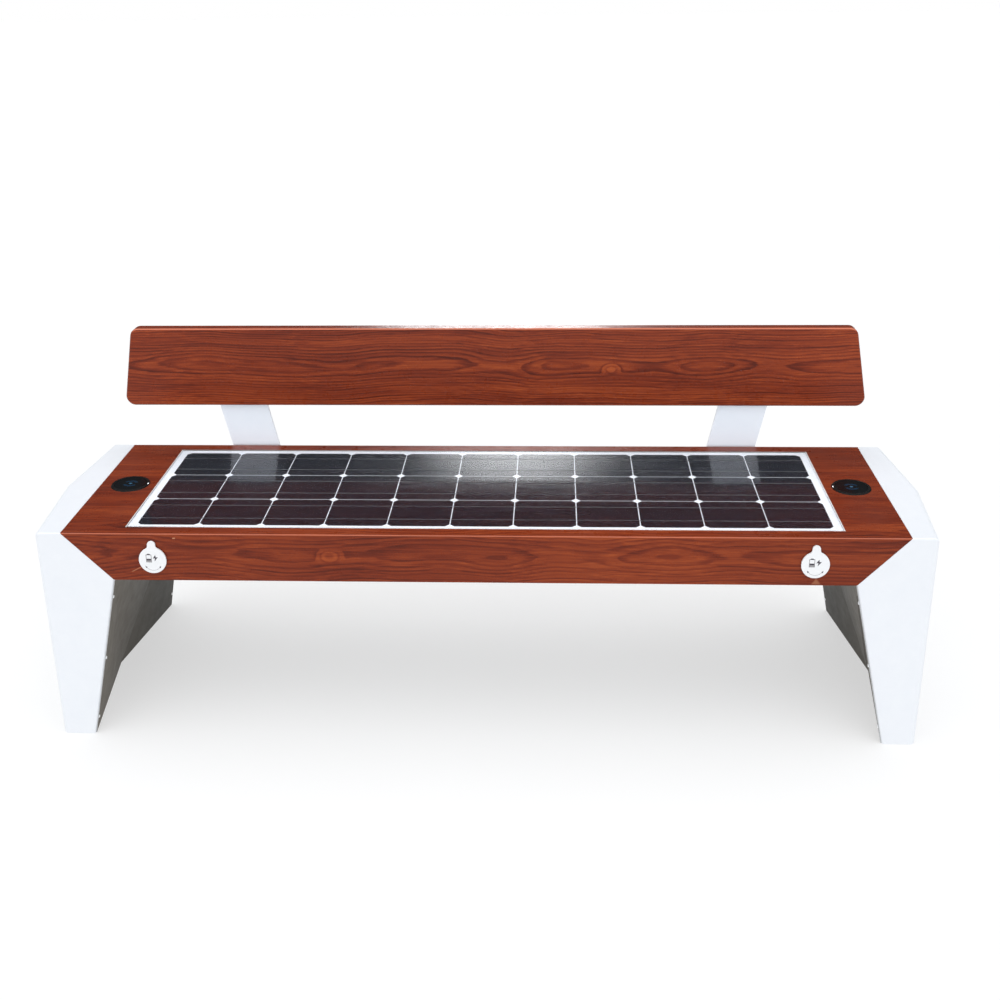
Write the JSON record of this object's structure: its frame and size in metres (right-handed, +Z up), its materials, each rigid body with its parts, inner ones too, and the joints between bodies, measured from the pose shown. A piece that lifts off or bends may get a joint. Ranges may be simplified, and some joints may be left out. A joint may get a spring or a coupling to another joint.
{
  "type": "solar charging bench",
  "caption": "Steel park bench with a backrest, a solar panel set flush in the seat, round wireless chargers beside it and USB outlets under turning covers in the front apron.",
  "frame": {"origin": "on the floor, under the middle of the seat: the centre of the bounding box's bottom face", "axes": "+X along the seat to the right of someone who looks at its front, +Y to the rear where the backrest stands, +Z up"},
  "size_m": [1.826, 0.556, 0.73],
  "materials": {
    "white_coat": "fine textured powder coat",
    "wood_coat": "glossy wood-grain coat",
    "liner_coat": "satin powder coat",
    "rivet_paint": "satin paint",
    "galvanised": "zinc grey",
    "steel": "satin",
    "panel_glass": "clear, low-iron",
    "ribbon_metal": "satin",
    "cell_silicon": "dark, even",
    "back_film": "matt white film",
    "seal_rubber": "matt pale",
    "tray_metal": "mill finish",
    "black_plastic": "matt",
    "controller_case": "anodised",
    "battery_case": "matt",
    "charger_plastic": "satin black",
    "pad_gloss": "glossy black",
    "lamp_white": "clear white",
    "socket_plastic": "satin black",
    "cover_paint": "satin white"
  },
  "bodies": {
    "bench": {"left_leg_shell": "white_coat", "right_leg_shell": "white_coat", "left_leg_liner": "liner_coat", "right_leg_liner": "liner_coat", "left_liner_rivets": "rivet_paint", "right_liner_rivets": "rivet_paint", "left_leg_beam": "galvanised", "right_leg_beam": "galvanised", "left_foot_plate": "galvanised", "right_foot_plate": "galvanised", "access_door": "liner_coat", "seat_top": "wood_coat", "bottom_cover": "galvanised", "cover_screws": "steel", "front_rail": "galvanised", "rear_rail": "galvanised", "cross_members": "galvanised", "frame_bolts": "steel", "solar_glass": "panel_glass", "cell_ribbons": "ribbon_metal", "solar_cells": "cell_silicon", "solar_backsheet": "back_film", "panel_seal": "seal_rubber", "panel_tray": "tray_metal", "junction_box": "black_plastic", "charge_controller": "controller_case", "battery_pack": "battery_case", "battery_shelf": "galvanised", "backrest_board": "wood_coat", "backrest_rear_cover": "wood_coat", "backrest_bars": "galvanised", "left_back_support": "white_coat", "right_back_support": "white_coat", "left_backing_plate": "galvanised", "right_backing_plate": "galvanised", "support_spacers": "galvanised", "support_bolts": "steel", "support_nuts": "steel", "board_bolts": "steel", "rear_cover_screws": "steel", "left_charger_bezel": "charger_plastic", "left_charger_pad": "pad_gloss", "left_charger_body": "black_plastic", "left_charger_nut": "black_plastic", "left_charger_lamp": "lamp_white", "left_usb_socket": "socket_plastic", "left_usb_nut": "black_plastic", "left_usb_pivot": "steel", "right_charger_bezel": "charger_plastic", "right_charger_pad": "pad_gloss", "right_charger_body": "black_plastic", "right_charger_nut": "black_plastic", "right_charger_lamp": "lamp_white", "right_usb_socket": "socket_plastic", "right_usb_nut": "black_plastic", "right_usb_pivot": "steel"},
    "left_usb_cover": {"left_usb_cover": "cover_paint"},
    "right_usb_cover": {"right_usb_cover": "cover_paint"}
  },
  "joints": [
    {"name": "left_usb_cover_turn", "type": "hinge", "parent": "bench", "child": "left_usb_cover", "pos_m": [-0.6545, -0.24256, 0.42869], "axis": [0, -0.9959, 0.0907], "range_deg": [-110, 110]},
    {"name": "right_usb_cover_turn", "type": "hinge", "parent": "bench", "child": "right_usb_cover", "pos_m": [0.6545, -0.24256, 0.42869], "axis": [0, -0.9959, 0.0907], "range_deg": [-110, 110]}
  ]
}
